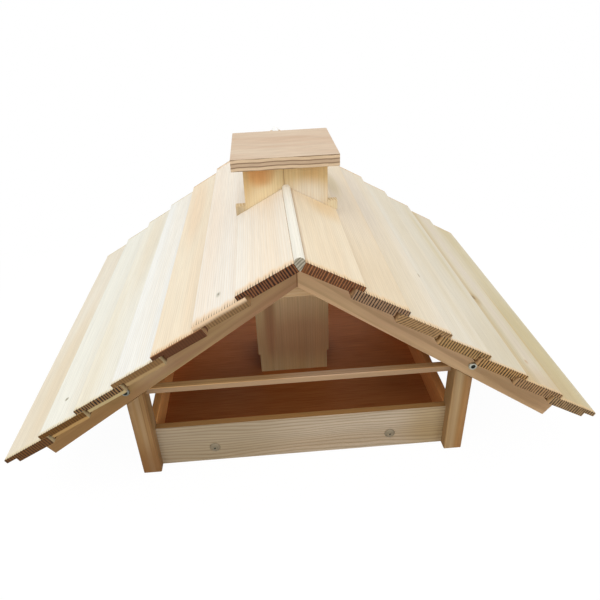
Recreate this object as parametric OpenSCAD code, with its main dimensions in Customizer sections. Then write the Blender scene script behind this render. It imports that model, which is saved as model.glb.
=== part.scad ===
// Wooden bird feeder with a gable roof of lapped boards and a feed silo.
// Front faces -Y, the ridge runs along Y, the posts stand on Z = 0.
// All sizes are in millimetres.

/* [Base] */

// width of the base over the posts
base_w = 400; // [300:1:520]
// depth of the base over the posts
base_d = 400; // [300:1:520]
// side of a square post
post_sq = 22; // [16:0.5:32]
// chamfer along the planed edges of posts, rafters and boards
ease = 0.8; // [0.3:0.1:2]
// height of the four tray boards
tray_h = 60; // [40:1:90]
// thickness of a tray board
tray_t = 10; // [8:0.5:14]
// thickness of the floor panel
floor_t = 9; // [6:0.5:15]
// height of the floor's top face
floor_top = 27; // [15:1:38]

/* [Gable frames] */

// slope of the roof in degrees
slope = 34.6; // [28:0.1:42]
// height of the point where the lower edges of the rafters meet
apex_z = 250; // [225:1:300]
// depth of a rafter, square to its length
rafter_h = 36; // [26:0.5:46]
// thickness of a rafter, along the ridge
rafter_t = 22; // [16:0.5:32]
// how far a rafter reaches past the lip of the last board, along the slope
rafter_past = 1; // [0:0.5:10]
// how far the gusset's lower edge lies below the rafters' meeting point
gusset_drop = 24; // [14:1:32]
// half width of the gusset at its lower edge
gusset_half = 58; // [45:1:70]
// half width of the gusset at its upper edge
gusset_top = 27; // [20:1:34]
// how far the gusset's upper corners stay below the rafters' upper edges
gusset_gap = 3; // [2:0.5:8]
// thickness of the gusset
gusset_t = 8; // [5:0.5:12]
// depth of the perch bar between two posts, front to back
perch_d = 10; // [8:0.5:16]
// height of the perch bar
perch_h = 8; // [6:0.5:16]
// how far the perch bar lies below the rafter where that crosses the post
perch_drop = 4.2; // [1:0.2:25]

/* [Roof boards] */

// how far a roof board reaches past the gable frames
board_over = 49; // [20:1:80]
// width of a roof board
board_w = 61; // [56:0.5:70]
// how much wider the first board is, at the ridge
first_more = 2.5; // [1:0.5:10]
// thickness of a roof board
board_t = 10.5; // [8:0.5:15]
// how far a board lies under the one above it
lap = 7.5; // [4:0.5:11]
// thickness left in the lapping lip
lip_t = 5.2; // [3.5:0.1:7]
// width of the lapping lip
lip_w = 13; // [9:0.5:16]

/* [Ridge strip] */

// width of the ridge strip
strip_w = 10; // [8:0.5:16]
// height of the strip above the peak of the rafters
strip_rise = 14; // [12:0.5:20]
// radius of the strip's rounded top
strip_r = 5.4; // [5:0.1:12]
// half of the gap between the first boards at their lower corners
ridge_gap = 0.6; // [0.4:0.1:1.5]

/* [Feed silo] */

// width of the silo, left to right
silo_w = 101; // [80:1:104]
// depth of the silo, front to back
silo_d = 101; // [80:1:120]
// thickness of a silo board
silo_t = 10; // [8:0.5:14]
// height of the silo's top edge above the peak of the rafters
silo_rise = 36.8; // [28:0.1:70]
// height of the seed outlets above the floor
outlet_h = 31; // [20:1:50]
// how much narrower the foot of the front board is, on each side
foot_in = 2.5; // [1:0.5:6]
// how far a shoulder reaches past the silo's side
shoulder_out = 12; // [8:0.5:16]
// height of the shoulder's top edge above the roof at the silo's side
shoulder_h = 6; // [3:0.5:16]

/* [Cap] */

// how far the cap reaches past the silo
cap_over = 13; // [6:0.5:24]
// thickness of the cap
cap_t = 14; // [9:0.5:18]
// depth of the locating block under the cap
block_h = 12; // [8:1:20]
// clearance round the locating block
block_clear = 5; // [4:0.5:8]

/* [Screws] */

// distance of the tray screws from the middle
tray_screw_x = 110; // [60:1:140]
// diameter of a tray screw's head
tray_screw_d = 13; // [6:0.5:16]
// distance of the rafter screws from the posts' outer faces
rafter_screw_in = 2.5; // [2:0.5:14]
// height of a rafter screw above the rafter's lower edge, square to it
rafter_screw_v = 14; // [8:0.5:20]
// diameter of a rafter screw's head
rafter_screw_d = 10.5; // [6:0.5:12]
// height of a screw's head
head_h = 2.2; // [1:0.1:3]

/* [Hidden] */

$fn = 64;
seat = 0.1;
half_w = base_w / 2;
half_d = base_d / 2;
in_w = half_w - post_sq;
in_d = half_d - post_sq;
peak_z = apex_z + rafter_h / cos(slope);
gusset_z = apex_z - gusset_drop;
gusset_h = peak_z - gusset_top * tan(slope) - gusset_gap - gusset_z;
rows = 7;
board_len = base_d + 2 * board_over;
pitch = board_w - lap;
first_w = board_w + first_more;
rebate = board_t - lip_t;
tilt = asin((rebate + seat) / pitch);
// place of the first board's upper lower corner, along and square to the slope
first_v = rafter_h + seat;
first_u = (ridge_gap - first_v * sin(slope)) / cos(slope);
// place of the first lip's upper corner along the slope
lip_u = first_u + first_w * cos(tilt) - board_t * sin(tilt);
rafter_len = lip_u + (rows - 1) * pitch + rafter_past;
end_angle = slope - tilt;
end_x = first_u * cos(slope) + first_v * sin(slope);
end_z = apex_z - first_u * sin(slope) + first_v * cos(slope);
half_silo_w = silo_w / 2;
half_silo_d = silo_d / 2;
silo_top = peak_z + silo_rise;
outlet_z = floor_top + outlet_h;
roof_clear = 0.5;

// height of the rafter's lower edge at a distance from the middle
function rafter_z(x) = apex_z - x * tan(slope);

// height of the first board's top face at a distance from the middle
function first_top_z(x) =
  let (top_x = end_x + board_t * sin(end_angle))
  let (top_z = end_z + board_t * cos(end_angle))
  top_z - (x - top_x) * tan(end_angle);

// a profile drawn in X and Z, run along Y from y0 to y1
module along_y(y0, y1) {
  translate([0, y1, 0])
    rotate([90, 0, 0])
      linear_extrude(height = y1 - y0)
        children();
}

// a rectangle from the origin with its four corners chamfered
module eased(w, h) {
  polygon([
    [ease, 0],
    [w - ease, 0],
    [w, ease],
    [w, h - ease],
    [w - ease, h],
    [ease, h],
    [0, h - ease],
    [0, ease]
  ]);
}

// a planed bar from the origin along X, sawn square at its ends
module planed(l, w, h) {
  rotate([90, 0, 90])
    linear_extrude(height = l)
      eased(w, h);
}

module post(sx, sy) {
  color("burlywood")
    mirror([sx < 0 ? 1 : 0, 0, 0])
      mirror([0, sy > 0 ? 1 : 0, 0])
        intersection() {
          translate([in_w, -half_d, 0])
            linear_extrude(height = apex_z)
              eased(post_sq, post_sq);
          along_y(-half_d - 1, -in_d + 1)
            polygon([
              [in_w - 1, 0],
              [half_w + 1, 0],
              [half_w + 1, rafter_z(half_w + 1) - seat],
              [in_w - 1, rafter_z(in_w - 1) - seat]
            ]);
        }
}

module tray_floor() {
  color("saddlebrown")
    translate([-in_w + seat, -in_d + seat, floor_top - floor_t])
      cube([2 * (in_w - seat), 2 * (in_d - seat), floor_t]);
}

// a tray board between the front or the back posts
module tray_board_x(sy) {
  color("wheat")
    mirror([0, sy > 0 ? 1 : 0, 0])
      translate([-in_w + seat, -in_d - tray_t, 0])
        planed(2 * (in_w - seat), tray_t, tray_h);
}

// a tray board between the left or the right posts
module tray_board_y(sx) {
  color("wheat")
    mirror([sx < 0 ? 1 : 0, 0, 0])
      translate([in_w + tray_t, -in_d + seat, 0])
        rotate([0, 0, 90])
          planed(2 * (in_d - seat), tray_t, tray_h);
}

module rafter(sx, sy) {
  color("tan")
    mirror([sx < 0 ? 1 : 0, 0, 0])
      mirror([0, sy > 0 ? 1 : 0, 0])
        difference() {
          translate([0, -half_d, apex_z])
            rotate([0, slope, 0])
              translate([-rafter_h, 0, 0])
                planed(rafter_len + rafter_h, rafter_t, rafter_h);
          // the plumb cut against the rafter of the other side
          translate([seat / 2 - 2 * rafter_h, -half_d - 1, apex_z - rafter_h])
            cube([2 * rafter_h, rafter_t + 2, 4 * rafter_h]);
          // eased edges of the plumb cut, which show as a fine line at the ridge
          for (y = [-half_d, -half_d + rafter_t])
            translate([seat / 2, y, apex_z])
              rotate([0, 0, 45])
                cube([ease, ease, 4 * rafter_h], center = true);
        }
}

module gusset(sy) {
  y0 = -half_d + rafter_t + seat;
  color("tan")
    mirror([0, sy > 0 ? 1 : 0, 0])
      along_y(y0, y0 + gusset_t)
        polygon([
          [-gusset_half, gusset_z],
          [gusset_half, gusset_z],
          [gusset_top, gusset_z + gusset_h],
          [-gusset_top, gusset_z + gusset_h]
        ]);
}

module perch_bar(sy) {
  perch_z = rafter_z(in_w) - perch_drop - perch_h;
  color("tan")
    mirror([0, sy > 0 ? 1 : 0, 0])
      translate([-in_w + seat, -in_d - perch_d, perch_z])
        planed(2 * (in_w - seat), perch_d, perch_h);
}

// section of a roof board: upper edge at the origin, lip at the far end
module board_section(w) {
  polygon([
    [0, 0],
    [w - lip_w, 0],
    [w - lip_w, rebate],
    [w, rebate],
    [w, board_t - ease],
    [w - ease, board_t],
    [ease, board_t],
    [0, board_t - ease]
  ]);
}

module roof_board(sx, n) {
  w = n == 1 ? first_w : board_w;
  u = lip_u + (n - 1) * pitch - w * cos(tilt) + board_t * sin(tilt);
  x = u * cos(slope) + first_v * sin(slope);
  z = apex_z - u * sin(slope) + first_v * cos(slope);
  color("antiquewhite")
    mirror([sx < 0 ? 1 : 0, 0, 0])
      difference() {
        translate([x, 0, z])
          rotate([0, slope - tilt, 0])
            along_y(-board_len / 2, board_len / 2)
              board_section(w);
        translate([-1, -half_silo_d - roof_clear, 0])
          cube([half_silo_w + roof_clear + 1, silo_d + 2 * roof_clear, silo_top]);
      }
}

module ridge_section() {
  z0 = peak_z + seat;
  half = strip_w / 2;
  // where the board ends would cross the middle, moved in by the seat
  cross_z = end_z - end_x / tan(end_angle) + seat / sin(end_angle);
  flat = max(0.2, (z0 - cross_z) * tan(end_angle));
  intersection() {
    polygon([
      [-flat, z0],
      [flat, z0],
      [half, cross_z + half / tan(end_angle)],
      [half, z0 + strip_rise],
      [-half, z0 + strip_rise],
      [-half, cross_z + half / tan(end_angle)]
    ]);
    union() {
      translate([0, z0 + strip_rise - strip_r])
        circle(r = strip_r);
      translate([-half, z0 - 1])
        square([strip_w, strip_rise + 1 - strip_r]);
    }
  }
}

module ridge_strip(sy) {
  color("ivory")
    mirror([0, sy > 0 ? 1 : 0, 0])
      along_y(-board_len / 2, -half_silo_d - seat)
        ridge_section();
}

// front or back board of the silo, with its foot; the front one has two shoulders
module silo_board_face(sy) {
  foot = half_silo_w - foot_in;
  wide = half_silo_w + shoulder_out;
  shoulder_z = first_top_z(half_silo_w) + shoulder_h;
  shoulder = [
    [half_silo_w, first_top_z(half_silo_w) + seat],
    [wide, first_top_z(wide) + seat],
    [wide, shoulder_z],
    [half_silo_w, shoulder_z]
  ];
  edge = concat(
    [[foot, floor_top + seat], [foot, outlet_z], [half_silo_w, outlet_z]],
    sy < 0 ? shoulder : [],
    [[half_silo_w, silo_top]]
  );
  last = len(edge) - 1;
  other = [for (i = [last : -1 : 0]) [-edge[i][0], edge[i][1]]];
  color("burlywood")
    mirror([0, sy > 0 ? 1 : 0, 0])
      along_y(-half_silo_d, -half_silo_d + silo_t)
        polygon(concat(edge, other));
}

module silo_board_side(sx) {
  color("burlywood")
    mirror([sx < 0 ? 1 : 0, 0, 0])
      translate([half_silo_w - silo_t, -half_silo_d + silo_t + seat, outlet_z])
        cube([silo_t, silo_d - 2 * (silo_t + seat), silo_top - outlet_z]);
}

module chimney_cap() {
  color("peachpuff")
    translate([-half_silo_w - cap_over, -half_silo_d - cap_over, silo_top + seat])
      cube([silo_w + 2 * cap_over, silo_d + 2 * cap_over, cap_t]);
}

module cap_block() {
  bw = silo_w - 2 * (silo_t + block_clear);
  bd = silo_d - 2 * (silo_t + block_clear);
  color("burlywood")
    translate([-bw / 2, -bd / 2, silo_top - block_h])
      cube([bw, bd, block_h]);
}

// a screw head lying on a face that looks towards -Y
module head(d) {
  rotate([90, 0, 0])
    cylinder(d = d, h = head_h);
}

module tray_screws() {
  z = floor_top - floor_t / 2;
  color("silver")
    for (a = [0, 90, 180, 270])
      rotate([0, 0, a])
        for (s = [-1, 1])
          translate([
            s * tray_screw_x,
            -(a == 0 || a == 180 ? in_d : in_w) - tray_t - seat,
            z
          ])
            head(tray_screw_d);
}

module rafter_screws() {
  rafter_screw_x = half_w - rafter_screw_in;
  z = rafter_z(rafter_screw_x) + rafter_screw_v / cos(slope);
  color("silver")
    for (a = [0, 180])
      rotate([0, 0, a])
        for (s = [-1, 1])
          translate([s * rafter_screw_x, -half_d - seat, z])
            head(rafter_screw_d);
}

post(-1, -1);  // post_front_left
post(1, -1);  // post_front_right
post(-1, 1);  // post_back_left
post(1, 1);  // post_back_right
tray_floor();
tray_board_x(-1);  // tray_board_front
tray_board_x(1);  // tray_board_back
tray_board_y(-1);  // tray_board_left
tray_board_y(1);  // tray_board_right
rafter(-1, -1);  // rafter_front_left
rafter(1, -1);  // rafter_front_right
rafter(-1, 1);  // rafter_back_left
rafter(1, 1);  // rafter_back_right
gusset(-1);  // gusset_front
gusset(1);  // gusset_back
perch_bar(-1);  // perch_bar_front
perch_bar(1);  // perch_bar_back
roof_board(-1, 1);  // roof_board_left_1
roof_board(-1, 2);  // roof_board_left_2
roof_board(-1, 3);  // roof_board_left_3
roof_board(-1, 4);  // roof_board_left_4
roof_board(-1, 5);  // roof_board_left_5
roof_board(-1, 6);  // roof_board_left_6
roof_board(-1, 7);  // roof_board_left_7
roof_board(1, 1);  // roof_board_right_1
roof_board(1, 2);  // roof_board_right_2
roof_board(1, 3);  // roof_board_right_3
roof_board(1, 4);  // roof_board_right_4
roof_board(1, 5);  // roof_board_right_5
roof_board(1, 6);  // roof_board_right_6
roof_board(1, 7);  // roof_board_right_7
ridge_strip(-1);  // ridge_strip_front
ridge_strip(1);  // ridge_strip_back
silo_board_face(-1);  // silo_board_front
silo_board_face(1);  // silo_board_back
silo_board_side(-1);  // silo_board_left
silo_board_side(1);  // silo_board_right
chimney_cap();
cap_block();
tray_screws();
rafter_screws();
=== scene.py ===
"""Finishes a wooden bird feeder: planed pine, a film-faced floor, a plywood cap and zinc screws."""

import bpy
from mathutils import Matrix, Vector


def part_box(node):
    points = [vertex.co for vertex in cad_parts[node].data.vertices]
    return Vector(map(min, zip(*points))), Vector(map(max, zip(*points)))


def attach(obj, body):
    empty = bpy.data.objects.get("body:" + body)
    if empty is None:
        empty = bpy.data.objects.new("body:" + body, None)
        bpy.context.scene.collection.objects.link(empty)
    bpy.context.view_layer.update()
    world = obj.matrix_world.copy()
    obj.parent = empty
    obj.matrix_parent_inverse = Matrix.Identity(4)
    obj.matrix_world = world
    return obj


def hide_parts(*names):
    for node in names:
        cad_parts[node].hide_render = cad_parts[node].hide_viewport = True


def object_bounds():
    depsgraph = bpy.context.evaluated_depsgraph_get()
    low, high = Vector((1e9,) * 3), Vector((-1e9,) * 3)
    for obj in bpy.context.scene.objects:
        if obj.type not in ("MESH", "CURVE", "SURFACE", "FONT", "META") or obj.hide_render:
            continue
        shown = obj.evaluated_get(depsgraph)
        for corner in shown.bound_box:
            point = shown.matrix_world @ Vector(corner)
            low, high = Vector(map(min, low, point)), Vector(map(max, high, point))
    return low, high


bl_info = {
    "name": "Bird feeder finish",
    "version": (1, 0, 0),
    "blender": (4, 5, 0),
    "location": "3D View > Sidebar > Feeder",
    "description": "Timber, plywood and screws for a gabled bird feeder",
    "category": "Object",
}

import math

import bpy
import numpy as np
from bpy.props import FloatProperty, FloatVectorProperty, PointerProperty
from bpy.types import Operator, Panel, PropertyGroup
from mathutils import Matrix, Vector

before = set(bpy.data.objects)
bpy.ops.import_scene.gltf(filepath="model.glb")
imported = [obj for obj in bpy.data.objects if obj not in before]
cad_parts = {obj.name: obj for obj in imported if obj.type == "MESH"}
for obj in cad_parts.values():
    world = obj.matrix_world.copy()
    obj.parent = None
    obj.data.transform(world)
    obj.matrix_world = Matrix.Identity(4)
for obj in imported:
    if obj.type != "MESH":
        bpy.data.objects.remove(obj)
CAD_LOW, CAD_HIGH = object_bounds()
MIDDLE = (CAD_LOW + CAD_HIGH) / 2
MM = 0.001

# Cosines over and under which two directions count as parallel and as square to each other.
PARALLEL, SQUARE = 0.999, 0.05
# Noise hovers round a half: a pattern runs from none to full between these two levels of it.
NOISE_LOW, NOISE_HIGH = 0.3, 0.7
# The directions round a circle.
TURN = np.linspace(0, 2 * np.pi, 65)[:-1]
# A Mix node of colours takes the two in sockets 6 and 7 and gives its result in socket 2.
COLOURS = {"out": 2, "data_type": "RGBA"}
SMOOTH = {"interpolation_type": "SMOOTHSTEP"}


# ---------------- small tools


def hex_colour(code):
    """An sRGB hex colour as linear red, green and blue, by the curve of the sRGB standard."""
    part = np.array([int(code[i : i + 2], 16) for i in (1, 3, 5)]) / 255
    linear = np.where(part <= 0.04045, part / 12.92, ((part + 0.055) / 1.055) ** 2.4)
    return tuple(float(v) for v in linear)


def rgba(colour):
    """The four numbers that sockets want, from sRGB hex or from linear red, green and blue."""
    return (*(hex_colour(colour) if isinstance(colour, str) else colour), 1.0)


def colour_setting(name, description, code):
    """A colour that a user can change, given as sRGB hex and kept as linear red, green and blue."""
    return FloatVectorProperty(
        name=name, description=description, subtype="COLOR", size=3, default=hex_colour(code)
    )


def add(tree, kind, inputs=None, out=0, **settings):
    """Adds one node. settings are its properties; inputs maps a socket's name or number to a value
    or to the socket that feeds it. Returns the output socket with that name or number."""
    node = tree.nodes.new("ShaderNode" + kind)
    for key, value in settings.items():
        setattr(node, key, value)
    for key, value in (inputs or {}).items():
        if isinstance(value, bpy.types.NodeSocket):
            tree.links.new(value, node.inputs[key])
        else:
            node.inputs[key].default_value = value
    return node.outputs[out]


def new_material(name):
    """An empty node material and its tree."""
    material = bpy.data.materials.new(name)
    material.use_nodes = True
    material.node_tree.nodes.clear()
    return material, material.node_tree


def finish_surface(tree, colour, roughness, height=None, depth=0.0, **sockets):
    """Closes a material: a Principled shader with an optional bump of that depth in metres."""
    inputs = {"Base Color": colour, "Roughness": roughness}
    inputs.update({key.replace("_", " "): value for key, value in sockets.items()})
    if height is not None:
        inputs["Normal"] = add(tree, "Bump", {"Strength": 1.0, "Distance": depth, "Height": height})
    shader = add(tree, "BsdfPrincipled", inputs)
    output = tree.nodes.new("ShaderNodeOutputMaterial")
    tree.links.new(shader, output.inputs["Surface"])


def give(node_name, material):
    """Puts one material on every slot of a CAD node."""
    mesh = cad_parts[node_name].data
    mesh.materials.clear()
    mesh.materials.append(material)


def new_piece(name, points, faces, material):
    """An object at the origin from points in metres and faces of point numbers."""
    mesh = bpy.data.meshes.new(name)
    mesh.from_pydata(np.asarray(points, float).tolist(), [], faces)
    mesh.materials.append(material)
    mesh.shade_smooth()
    mesh.update()
    piece = bpy.data.objects.new(name, mesh)
    bpy.context.scene.collection.objects.link(piece)
    return piece


def axes_from(node_name, through, width):
    """A right-handed frame in the middle of a CAD node: across, along and through it, and the middle."""
    low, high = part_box(node_name)
    return width, through.cross(width), through, (low + high) / 2


def board_axes(node_name, face, edge):
    """The board's own axes: across its width, along its grain and through its thickness, and its centre.

    The flat sides of a board are its largest faces and its edges the next, so the facet normals are
    summed by area: the largest sum gives the thickness, the largest square to it the width, and the
    cross product of the two is the grain. face and edge say roughly where the thickness and the width
    point, so that both boards of a pair read the same way.
    """
    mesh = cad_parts[node_name].data
    mesh.calc_loop_triangles()
    count = len(mesh.loop_triangles)
    corner = np.empty(count * 3, np.int64)
    mesh.loop_triangles.foreach_get("vertices", corner)
    place = np.empty(len(mesh.vertices) * 3)
    mesh.vertices.foreach_get("co", place)
    place = place.reshape(-1, 3)
    a, b, c = (place[corner.reshape(-1, 3)[:, i]] for i in range(3))
    cross = np.cross(b - a, c - a)
    area = np.linalg.norm(cross, axis=1) / 2
    normal = cross[area > 0] / (2 * area[area > 0, None])
    area = area[area > 0]
    same_way = np.abs(normal @ normal.T) > PARALLEL
    share = (area[None, :] * same_way).sum(1)
    through = normal[share.argmax()]
    square = np.abs(normal @ through) < SQUARE
    width = normal[square][share[square].argmax()]
    through = Vector(through if through @ np.array(face) > 0 else -through)
    width = Vector(width if width @ np.array(edge) > 0 else -width)
    return axes_from(node_name, through, width)


# ---------------- timber


def lay_patch(tree, colour, local, slow, patch):
    """Lays one soft-edged oval of another colour over a colour: a knot, a streak, a stain, or a
    painted shadow or pool of painted light.

    The oval is where the distance from its middle, counted in its own half sizes and bent a little by
    slow noise, is under one.
    """
    across, along, half_across, half_along, code, strength, soft = patch
    bend = 0.6
    edge = 1 + bend / 2
    place = add(
        tree,
        "VectorMath",
        {
            0: local,
            1: (1 / (half_across * MM), 1 / (half_along * MM), 0.0),
            2: (-across / half_across, -along / half_along, 0.0),
        },
        operation="MULTIPLY_ADD",
    )
    far = add(tree, "VectorMath", {0: place}, out=1, operation="LENGTH")
    far = add(tree, "Math", {0: slow, 1: bend, 2: far}, operation="MULTIPLY_ADD")
    mask = add(
        tree, "MapRange", {0: far, 1: edge - soft, 2: edge + soft, 3: strength, 4: 0.0}, **SMOOTH
    )
    return add(tree, "Mix", {0: mask, 6: colour, 7: rgba(code)}, **COLOURS)


def growth_rings(tree, local, look, slow):
    """How far a point lies in the late wood of its ring, as a fine line and as a broad band.

    A ring ends where the distance from the pith, bent by slow noise, is a whole number of rings. Late
    wood darkens slowly through a ring and stops sharply at its end.
    """
    # in rings: where the fine line starts and is full, where both fall away, the band's soft start
    line_start, line_full, fall, soft = 0.35, 0.85, 0.88, 0.12
    alike = 0.23  # noise cells a ring, so that widths change over some four rings
    pith = look["pith"]
    from_pith = add(
        tree,
        "VectorMath",
        {0: local, 1: (1.0, 0.0, 1.0), 2: (-pith[0], 0.0, -pith[1])},
        operation="MULTIPLY_ADD",
    )
    radius = add(tree, "VectorMath", {0: from_pith}, out=1, operation="LENGTH")
    radius = add(tree, "Math", {0: slow, 1: look["wander"], 2: radius}, operation="MULTIPLY_ADD")
    turns = add(tree, "Math", {0: radius, 1: look["ring"]}, operation="DIVIDE")
    uneven = add(tree, "TexNoise", {"W": turns, "Scale": alike, "Detail": 0.0}, noise_dimensions="1D")
    turns = add(tree, "Math", {0: uneven, 1: look["uneven"], 2: turns}, operation="MULTIPLY_ADD")
    phase = add(tree, "Math", {0: turns}, operation="FRACT")
    drop = add(tree, "MapRange", {0: phase, 1: fall, 2: 1.0, 3: 1.0, 4: 0.0}, **SMOOTH)
    line = add(tree, "MapRange", {0: phase, 1: line_start, 2: line_full}, **SMOOTH)
    start = (fall + 1) / 2 - look["band"]
    band = add(tree, "MapRange", {0: phase, 1: start - soft, 2: start + soft}, **SMOOTH)
    line = add(tree, "Math", {0: line, 1: drop}, operation="MULTIPLY")
    band = add(tree, "Math", {0: band, 1: drop}, operation="MULTIPLY")
    return line, band


def facing(tree, direction):
    """The cosine between the surface's normal and a direction of the object."""
    normal = add(tree, "TexCoord", out="Normal")
    return add(tree, "VectorMath", {0: normal, 1: tuple(direction)}, out=1, operation="DOT_PRODUCT")


# Pine, planed: pale sapwood, warmer heartwood, thin late wood lines. Ring, wander, pith and relief
# are metres. Tick, seam, rim, heel, thickness and patches are millimetres. Slow and
# broad are noise cells a metre across, along and through the board. The other numbers are shares
# and factors.
PINE = {
    "name": "planed_pine",
    "sap": "#E0C79C",
    "heart": "#D2A878",
    "late": "#B8854E",
    "end_pale": "#B08A5A",
    "end_dark": "#6E4626",
    "side": None,
    "share": 0.4,
    "blend": 0.1,
    "broad": (30.0, 1.2, 30.0),
    "slow": (22.0, 2.4, 22.0),
    "contrast": 0.45,
    "streaks": 0.055,
    "ring": 0.0026,
    "uneven": 0.9,
    "wander": 0.006,
    "pith": (0.5, -0.02),
    "band": 0.45,
    "both_faces": False,
    "tick": 0.0,
    "edge_highlight": None,
    "rim": None,
    "heel": None,
    "seam": 0.0,
    "arris": 1.0,
    "patches": (),
    "roughness": 0.6,
    "gloss": 0.2,
    "relief": 0.00008,
}


def board_noises(tree, local, look, seed):
    """Four noises stretched along the board: slow bends, broad sapwood and heartwood, streaks (4 mm
    across and 330 mm long) and fibres (0.6 mm across and 40 mm long, a little coarser than real so
    that they show). Each seed has its own place in them."""
    shift = (seed * 3.7, seed * 1.9, seed * 2.3)
    noises = []
    for stretch, detail in (
        (look["slow"], 2.0),
        (look["broad"], 3.0),
        ((260.0, 3.0, 260.0), 2.0),
        ((1600.0, 26.0, 1600.0), 1.0),
    ):
        stretched = add(tree, "VectorMath", {0: local, 1: stretch, 2: shift}, operation="MULTIPLY_ADD")
        noises.append(add(tree, "TexNoise", {"Vector": stretched, "Scale": 1.0, "Detail": detail}))
    return noises


def planed_face(tree, local, look, slow, broad, line):
    """The colour of a planed face: sapwood and heartwood, then the patches, then the late wood.

    Few places of the broad noise lie far from a half, so the share of heartwood is squeezed towards it.
    """
    squeeze = 0.35
    edge = 0.5 + squeeze * (0.5 - look["share"])
    heart = add(
        tree, "MapRange", {0: broad, 1: edge - look["blend"], 2: edge + look["blend"]}, **SMOOTH
    )
    colour = add(tree, "Mix", {0: heart, 6: rgba(look["sap"]), 7: rgba(look["heart"])}, **COLOURS)
    for patch in look["patches"]:
        colour = lay_patch(tree, colour, local, slow, patch)
    mark = add(tree, "Math", {0: line, 1: look["contrast"]}, operation="MULTIPLY")
    return add(tree, "Mix", {0: mark, 6: colour, 7: rgba(look["late"])}, **COLOURS)


def edges_and_tone(tree, colour, look, through, streak, fibre):
    """The same colour, with the look's side colour on the narrow edges and the underside (painted shade
    on the roof boards) and a painted highlight on the chamfered arrises, at 45 degrees to the face,
    with streaks and fibres that change its tone both ways."""
    side_under, arris_at, arris_within = 0.6, math.sqrt(0.5), 0.1  # cosines
    streaks, fibres = look["streaks"], 0.06
    up = facing(tree, through)
    up_or_down = add(tree, "Math", {0: up}, operation="ABSOLUTE")
    if look["side"]:
        seen = up_or_down if look["both_faces"] else up
        is_side = add(tree, "Math", {0: seen, 1: side_under}, operation="LESS_THAN")
        colour = add(tree, "Mix", {0: is_side, 6: colour, 7: rgba(look["side"])}, **COLOURS)
    tone = add(
        tree, "MapRange", {0: streak, 1: NOISE_LOW, 2: NOISE_HIGH, 3: 1 - streaks, 4: 1 + streaks}
    )
    grit = add(tree, "MapRange", {0: fibre, 1: 0.25, 2: 0.75, 3: 1 - fibres, 4: 1 + fibres})
    tone = add(tree, "Math", {0: tone, 1: grit}, operation="MULTIPLY")
    # painted highlight: the look's factor brightens the chamfered arrises
    arris = add(tree, "Math", {0: up_or_down, 1: arris_at, 2: arris_within}, operation="COMPARE")
    arris = add(tree, "Math", {0: arris, 1: look["arris"] - 1, 2: 1.0}, operation="MULTIPLY_ADD")
    tone = add(tree, "Math", {0: tone, 1: arris}, operation="MULTIPLY")
    return add(tree, "VectorMath", {0: colour, "Scale": tone}, operation="SCALE")


def end_ticks_and_highlight(tree, colour, local, look, half_length, streak, line):
    """The same colour near a sawn end: a painted highlight over the last millimetres, up to a line that
    the streaks make ragged, with short dark ticks in the late wood."""
    reach = look["tick"] * MM
    ragged, highlight_strength = 1.4, 0.6
    end = add(tree, "SeparateXYZ", {0: local}, out=1)
    end = add(tree, "Math", {0: end}, operation="ABSOLUTE")
    end = add(tree, "Math", {0: streak, 1: reach * ragged, 2: end}, operation="MULTIPLY_ADD")
    for code, before, mask in ((look["edge_highlight"], 0.7, highlight_strength), (look["end_dark"], 0.1, line)):
        start = half_length - reach * before
        near = add(tree, "MapRange", {0: end, 1: start, 2: start + reach}, **SMOOTH)
        near = add(tree, "Math", {0: near, 1: mask}, operation="MULTIPLY")
        colour = add(tree, "Mix", {0: near, 6: colour, 7: rgba(code)}, **COLOURS)
    return colour


def sawn_end(tree, local, look, slow, streak, band):
    """The colour of a sawn end: the same rings with much more contrast, in blotches that are up to a
    fifth paler or a quarter darker, and where the look asks for them a rim of another colour along
    the top edge and a heel along the lower one. Those are full over 0.4 of their depth, and the slow
    noise wavers their inner edge by a millimetre each way."""
    full, waver = 0.4, 2 * MM
    blotch = add(tree, "MapRange", {0: streak, 1: 0.35, 2: 0.7, 3: -0.2, 4: 0.25})
    cut = add(tree, "Math", {0: band, 1: blotch}, operation="ADD", use_clamp=True)
    pale, dark = rgba(look["end_pale"]), rgba(look["end_dark"])
    colour = add(tree, "Mix", {0: cut, 6: pale, 7: dark}, **COLOURS)
    for edge, way in ((look["rim"], 1.0), (look["heel"], -1.0)):
        if not edge:
            continue
        depth, code = edge
        height = add(tree, "SeparateXYZ", {0: local}, out=2)
        height = add(tree, "Math", {0: height, 1: way}, operation="MULTIPLY")
        height = add(tree, "Math", {0: slow, 1: waver, 2: height}, operation="MULTIPLY_ADD")
        top = look["thickness"] / 2 * MM + waver / 2
        rim = add(
            tree, "MapRange", {0: height, 1: top - depth * MM, 2: top - depth * full * MM}, **SMOOTH
        )
        colour = add(tree, "Mix", {0: rim, 6: colour, 7: rgba(code)}, **COLOURS)
    return colour


def dark_middle_line(tree, colour, place, reach):
    """The same colour with a dark line down the middle of the object: a closed joint on the rafters, and
    on the first right roof board the painted shadow of the ridge strip.
    """
    core, strength = 0.6, 0.55
    far = add(tree, "SeparateXYZ", {0: place}, out=0)
    far = add(tree, "Math", {0: far}, operation="ABSOLUTE")
    seam = add(tree, "MapRange", {0: far, 1: reach * core, 2: reach, 3: strength, 4: 0.0})
    return add(tree, "Mix", {0: seam, 6: colour, 7: rgba("#7A4A26")}, **COLOURS)


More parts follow.
